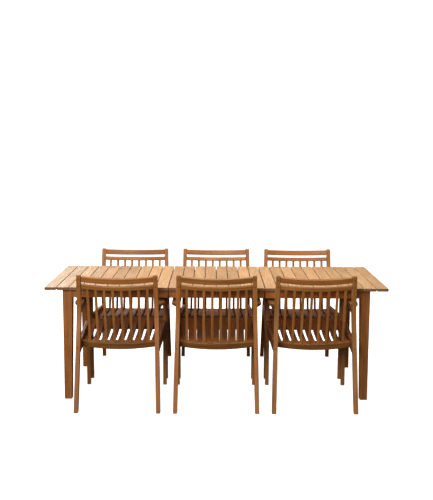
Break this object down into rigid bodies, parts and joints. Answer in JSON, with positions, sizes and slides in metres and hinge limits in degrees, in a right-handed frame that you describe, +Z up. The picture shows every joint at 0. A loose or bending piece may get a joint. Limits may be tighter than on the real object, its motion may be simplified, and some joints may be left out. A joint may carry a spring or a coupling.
{
  "type": "patio dining set",
  "caption": "Extending slatted wooden garden table with matching slatted armchairs along both long sides, pushed in.",
  "frame": {"origin": "on the floor under the middle of the table", "axes": "+X along the table, +Y across it from the near chairs to the far chairs, +Z up"},
  "size_m": [2.194, 1.362, 0.853],
  "materials": {
    "tabletop": "oiled",
    "table_frame": "oiled",
    "chair_frame": "oiled",
    "chair_back": "oiled",
    "chair_seat": "oiled"
  },
  "bodies": {
    "slide_frame": {"slide_rail_near": "table_frame", "slide_rail_far": "table_frame", "slide_cross_bar": "table_frame"},
    "half_table_left": {"half_top_left": "tabletop", "end_apron_left": "table_frame", "side_apron_near_left": "table_frame", "side_apron_far_left": "table_frame", "table_leg_near_left": "table_frame", "table_leg_far_left": "table_frame"},
    "half_table_right": {"half_top_right": "tabletop", "end_apron_right": "table_frame", "side_apron_near_right": "table_frame", "side_apron_far_right": "table_frame", "table_leg_near_right": "table_frame", "table_leg_far_right": "table_frame"},
    "leaf": {"leaf_top": "tabletop", "leaf_apron_near": "table_frame", "leaf_apron_far": "table_frame"},
    "near_left_chair": {"near_left_chair_rear_leg_left": "chair_frame", "near_left_chair_rear_leg_right": "chair_frame", "near_left_chair_front_leg_and_arm_left": "chair_frame", "near_left_chair_front_leg_and_arm_right": "chair_frame", "near_left_chair_top_rail": "chair_back", "near_left_chair_back": "chair_back", "near_left_chair_seat": "chair_seat"},
    "near_middle_chair": {"near_middle_chair_rear_leg_left": "chair_frame", "near_middle_chair_rear_leg_right": "chair_frame", "near_middle_chair_front_leg_and_arm_left": "chair_frame", "near_middle_chair_front_leg_and_arm_right": "chair_frame", "near_middle_chair_top_rail": "chair_back", "near_middle_chair_back": "chair_back", "near_middle_chair_seat": "chair_seat"},
    "near_right_chair": {"near_right_chair_rear_leg_left": "chair_frame", "near_right_chair_rear_leg_right": "chair_frame", "near_right_chair_front_leg_and_arm_left": "chair_frame", "near_right_chair_front_leg_and_arm_right": "chair_frame", "near_right_chair_top_rail": "chair_back", "near_right_chair_back": "chair_back", "near_right_chair_seat": "chair_seat"},
    "far_left_chair": {"far_left_chair_rear_leg_left": "chair_frame", "far_left_chair_rear_leg_right": "chair_frame", "far_left_chair_front_leg_and_arm_left": "chair_frame", "far_left_chair_front_leg_and_arm_right": "chair_frame", "far_left_chair_top_rail": "chair_back", "far_left_chair_back": "chair_back", "far_left_chair_seat": "chair_seat"},
    "far_middle_chair": {"far_middle_chair_rear_leg_left": "chair_frame", "far_middle_chair_rear_leg_right": "chair_frame", "far_middle_chair_front_leg_and_arm_left": "chair_frame", "far_middle_chair_front_leg_and_arm_right": "chair_frame", "far_middle_chair_top_rail": "chair_back", "far_middle_chair_back": "chair_back", "far_middle_chair_seat": "chair_seat"},
    "far_right_chair": {"far_right_chair_rear_leg_left": "chair_frame", "far_right_chair_rear_leg_right": "chair_frame", "far_right_chair_front_leg_and_arm_left": "chair_frame", "far_right_chair_front_leg_and_arm_right": "chair_frame", "far_right_chair_top_rail": "chair_back", "far_right_chair_back": "chair_back", "far_right_chair_seat": "chair_seat"}
  },
  "joints": [
    {"name": "half_table_left_draw", "type": "slide", "parent": "slide_frame", "child": "half_table_left", "axis": [-1, 0, 0], "range_m": [0, 0.035]},
    {"name": "half_table_right_draw", "type": "slide", "parent": "slide_frame", "child": "half_table_right", "axis": [1, 0, 0], "range_m": [0, 0.035]},
    {"name": "leaf_lift", "type": "slide", "parent": "slide_frame", "child": "leaf", "axis": [0, 0, 1], "range_m": [0, 0.25]},
    {"name": "near_left_chair_pull_out", "type": "slide", "parent": "slide_frame", "child": "near_left_chair", "axis": [0, -1, 0], "range_m": [0, 0.45]},
    {"name": "near_middle_chair_pull_out", "type": "slide", "parent": "slide_frame", "child": "near_middle_chair", "axis": [0, -1, 0], "range_m": [0, 0.45]},
    {"name": "near_right_chair_pull_out", "type": "slide", "parent": "slide_frame", "child": "near_right_chair", "axis": [0, -1, 0], "range_m": [0, 0.45]},
    {"name": "far_left_chair_pull_out", "type": "slide", "parent": "slide_frame", "child": "far_left_chair", "axis": [0, 1, 0], "range_m": [0, 0.45]},
    {"name": "far_middle_chair_pull_out", "type": "slide", "parent": "slide_frame", "child": "far_middle_chair", "axis": [0, 1, 0], "range_m": [0, 0.45]},
    {"name": "far_right_chair_pull_out", "type": "slide", "parent": "slide_frame", "child": "far_right_chair", "axis": [0, 1, 0], "range_m": [0, 0.45]}
  ]
}
